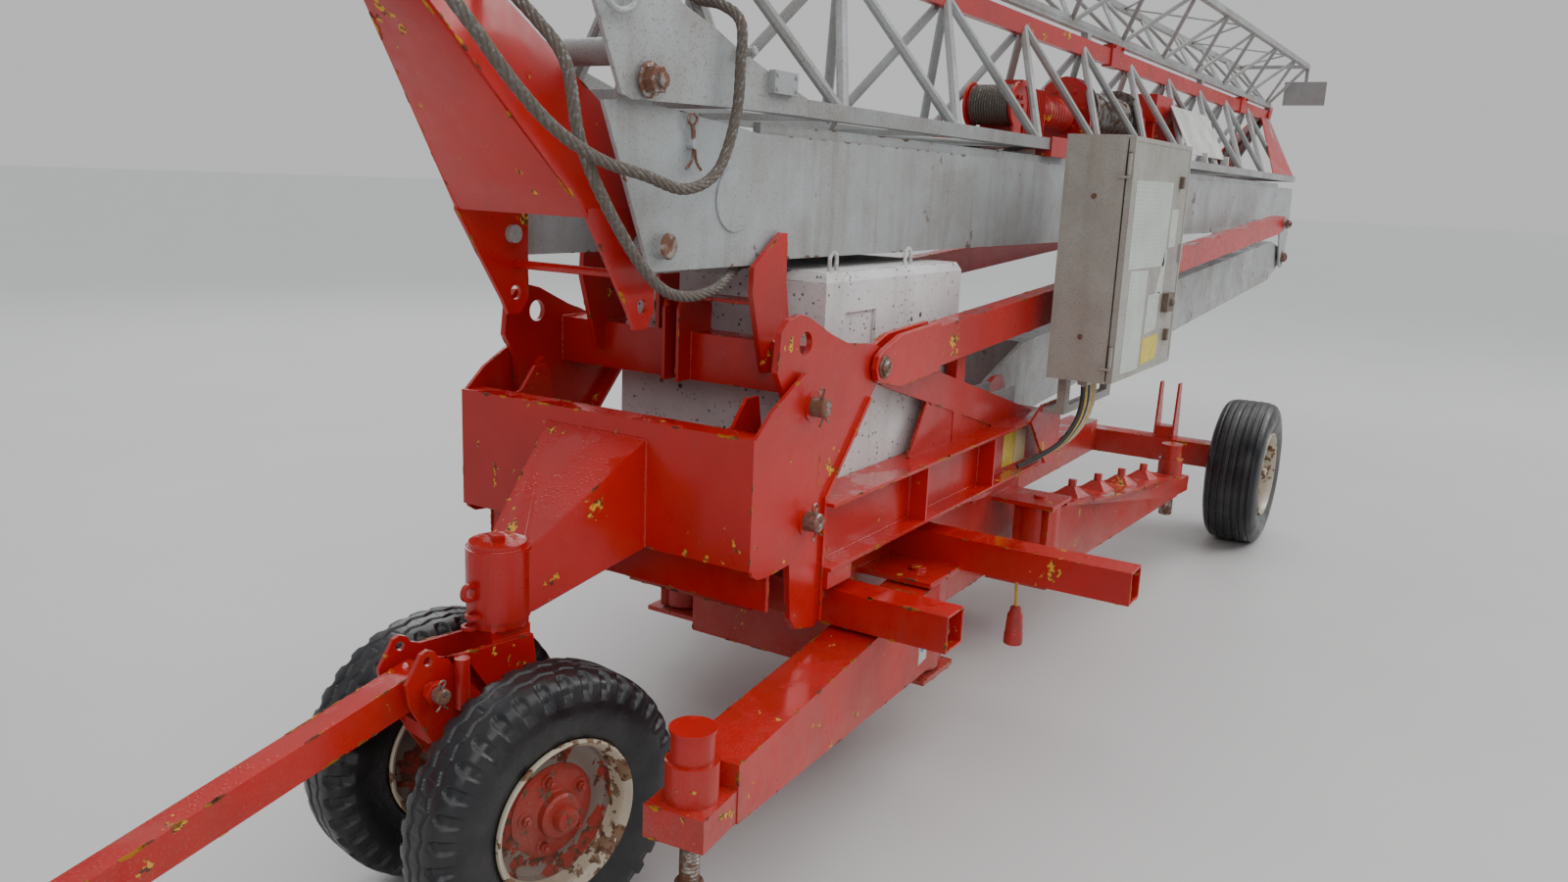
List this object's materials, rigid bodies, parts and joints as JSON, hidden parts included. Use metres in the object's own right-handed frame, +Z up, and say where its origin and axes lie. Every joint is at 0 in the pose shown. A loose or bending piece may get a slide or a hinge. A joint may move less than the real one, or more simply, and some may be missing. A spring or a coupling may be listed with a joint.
{
  "type": "tower crane",
  "caption": "Self-erecting tower crane folded for the road: box mast and lattice jib on a ballasted slewing platform with folded outrigger legs and a steered drawbar dolly.",
  "frame": {"origin": "middle of the machine in plan, on the ground it stands on", "axes": "+X from the drawbar towards the rear wheels, -Y to the cabinet side, +Z up"},
  "size_m": [12.3738, 2.48, 3.24],
  "materials": {
    "red_paint": "wet gloss, chipped",
    "grey_paint": "satin, stained",
    "tyre": "wet",
    "rim_paint": "satin, rust stained",
    "spindle_steel": "greased, rusty",
    "wire_rope": "weathered",
    "concrete": "matt, pitted",
    "cabinet_steel": "satin",
    "cable": "matt",
    "sheave_iron": "dull",
    "placard_white": "satin"
  },
  "bodies": {
    "base": {"front_frame": "red_paint", "ballast_cradle": "red_paint", "platform_frame": "red_paint", "ballast_block": "concrete", "slewing_ring": "red_paint", "undercarriage": "red_paint", "axle_beam": "red_paint", "cabinet": "cabinet_steel", "cable_bundle": "cable", "rod_tray": "grey_paint"},
    "dolly": {"dolly_fork": "red_paint"},
    "front_wheel_near": {"front_tyre_near": "tyre", "front_rim_near": "rim_paint"},
    "front_wheel_far": {"front_tyre_far": "tyre", "front_rim_far": "rim_paint"},
    "drawbar": {"drawbar": "red_paint"},
    "rear_wheel_near": {"rear_tyre_near": "tyre", "rear_rim_near": "rim_paint"},
    "rear_wheel_far": {"rear_tyre_far": "tyre", "rear_rim_far": "rim_paint"},
    "door": {"cabinet_door": "cabinet_steel"},
    "leg_front_near": {"leg_front_near": "red_paint"},
    "jack_front_near": {"jack_front_near": "spindle_steel"},
    "leg_front_far": {"leg_front_far": "red_paint"},
    "jack_front_far": {"jack_front_far": "spindle_steel"},
    "leg_rear_near": {"leg_rear_near": "red_paint"},
    "jack_rear_near": {"jack_rear_near": "spindle_steel"},
    "leg_rear_far": {"leg_rear_far": "red_paint"},
    "jack_rear_far": {"jack_rear_far": "spindle_steel"},
    "lower_mast": {"lower_mast": "grey_paint"},
    "upper_mast": {"upper_mast": "grey_paint", "rope_front": "wire_rope", "rope_rear": "wire_rope"},
    "stay_near": {"stay_near": "red_paint"},
    "stay_far": {"stay_far": "red_paint"},
    "head_strut": {"head_strut": "red_paint"},
    "head_sheave": {"head_sheave": "sheave_iron"},
    "jib": {"jib_chords": "grey_paint", "jib_side_near": "grey_paint", "jib_side_far": "grey_paint", "jib_winch": "red_paint", "jib_placard": "placard_white"},
    "jib_tip": {"tip_chords": "grey_paint", "tip_side_near": "grey_paint", "tip_side_far": "grey_paint"}
  },
  "joints": [
    {"name": "dolly_steer", "type": "hinge", "parent": "base", "child": "dolly", "pos_m": [-3.77308, 0, 0.835], "axis": [0, 0, 1], "range_deg": [-29, 51]},
    {"name": "drawbar_lift", "type": "hinge", "parent": "dolly", "child": "drawbar", "pos_m": [-4.01849, 0.0477, 0.715], "axis": [0.1908, 0.9816, 0], "range_deg": [0, 80]},
    {"name": "front_near_spin", "type": "hinge", "parent": "dolly", "child": "front_wheel_near", "pos_m": [-3.85099, -0.24361, 0.383], "axis": [0.1908, 0.9816, 0], "continuous": true},
    {"name": "front_far_spin", "type": "hinge", "parent": "dolly", "child": "front_wheel_far", "pos_m": [-3.75406, 0.25506, 0.383], "axis": [0.1908, 0.9816, 0], "continuous": true},
    {"name": "rear_near_spin", "type": "hinge", "parent": "base", "child": "rear_wheel_near", "pos_m": [1.36992, -0.977, 0.422], "axis": [0, 1, 0], "continuous": true},
    {"name": "rear_far_spin", "type": "hinge", "parent": "base", "child": "rear_wheel_far", "pos_m": [1.36992, 0.977, 0.422], "axis": [0, 1, 0], "continuous": true},
    {"name": "door_swing", "type": "hinge", "parent": "base", "child": "door", "pos_m": [-1.30008, -0.867, 1.745], "axis": [0, 0, -1], "range_deg": [0, 110]},
    {"name": "leg_front_near_swing", "type": "hinge", "parent": "base", "child": "leg_front_near", "pos_m": [-2.21308, -0.515, 0.515], "axis": [0, 0, 1], "range_deg": [0, 38.5]},
    {"name": "jack_front_near_slide", "type": "slide", "parent": "leg_front_near", "child": "jack_front_near", "axis": [0, 0, -1], "range_m": [0, 0.2]},
    {"name": "leg_front_far_swing", "type": "hinge", "parent": "base", "child": "leg_front_far", "pos_m": [-2.21308, 0.515, 0.515], "axis": [0, 0, 1], "range_deg": [0, 113.5]},
    {"name": "jack_front_far_slide", "type": "slide", "parent": "leg_front_far", "child": "jack_front_far", "axis": [0, 0, -1], "range_m": [0, 0.2]},
    {"name": "leg_rear_near_swing", "type": "hinge", "parent": "base", "child": "leg_rear_near", "pos_m": [-0.93308, -0.515, 0.515], "axis": [0, 0, -1], "range_deg": [0, 38.5]},
    {"name": "jack_rear_near_slide", "type": "slide", "parent": "leg_rear_near", "child": "jack_rear_near", "axis": [0, 0, -1], "range_m": [0, 0.2]},
    {"name": "leg_rear_far_swing", "type": "hinge", "parent": "base", "child": "leg_rear_far", "pos_m": [-0.93308, 0.515, 0.515], "axis": [0, 0, 1], "range_deg": [0, 38.5]},
    {"name": "jack_rear_far_slide", "type": "slide", "parent": "leg_rear_far", "child": "jack_rear_far", "axis": [0, 0, -1], "range_m": [0, 0.2]},
    {"name": "mast_raise", "type": "hinge", "parent": "base", "child": "lower_mast", "pos_m": [-1.04308, 0, 1.11], "axis": [0, -1, 0], "range_deg": [0, 80]},
    {"name": "mast_knee", "type": "hinge", "parent": "lower_mast", "child": "upper_mast", "pos_m": [6.02692, 0, 1.5], "axis": [0, 1, 0], "range_deg": [0, 80]},
    {"name": "stay_near_swing", "type": "hinge", "parent": "base", "child": "stay_near", "pos_m": [-2.64308, -0.505, 1.444], "axis": [0, -1, 0], "range_deg": [0, 80]},
    {"name": "stay_far_swing", "type": "hinge", "parent": "base", "child": "stay_far", "pos_m": [-2.64308, 0.505, 1.444], "axis": [0, -1, 0], "range_deg": [0, 80]},
    {"name": "head_strut_tilt", "type": "hinge", "parent": "upper_mast", "child": "head_strut", "pos_m": [-3.48808, 0, 1.825], "axis": [0, -1, 0], "range_deg": [0, 15], "deforming": ["rope_front"]},
    {"name": "head_sheave_spin", "type": "hinge", "parent": "head_strut", "child": "head_sheave", "pos_m": [-4.31808, 0, 2.75], "axis": [0, 1, 0], "continuous": true},
    {"name": "jib_raise", "type": "hinge", "parent": "upper_mast", "child": "jib", "pos_m": [-3.59808, 0, 2.225], "axis": [0, -1, 0], "range_deg": [0, 55], "deforming": ["rope_rear"]},
    {"name": "jib_unfold", "type": "hinge", "parent": "jib", "child": "jib_tip", "pos_m": [6.11692, 0, 2.84], "axis": [0, 1, 0], "range_deg": [0, 175]}
  ],
  "couplings": [
    {"joint": "mast_knee", "follows": "mast_raise", "ratio": 1},
    {"joint": "stay_near_swing", "follows": "mast_raise", "ratio": 1},
    {"joint": "stay_far_swing", "follows": "mast_raise", "ratio": 1}
  ]
}
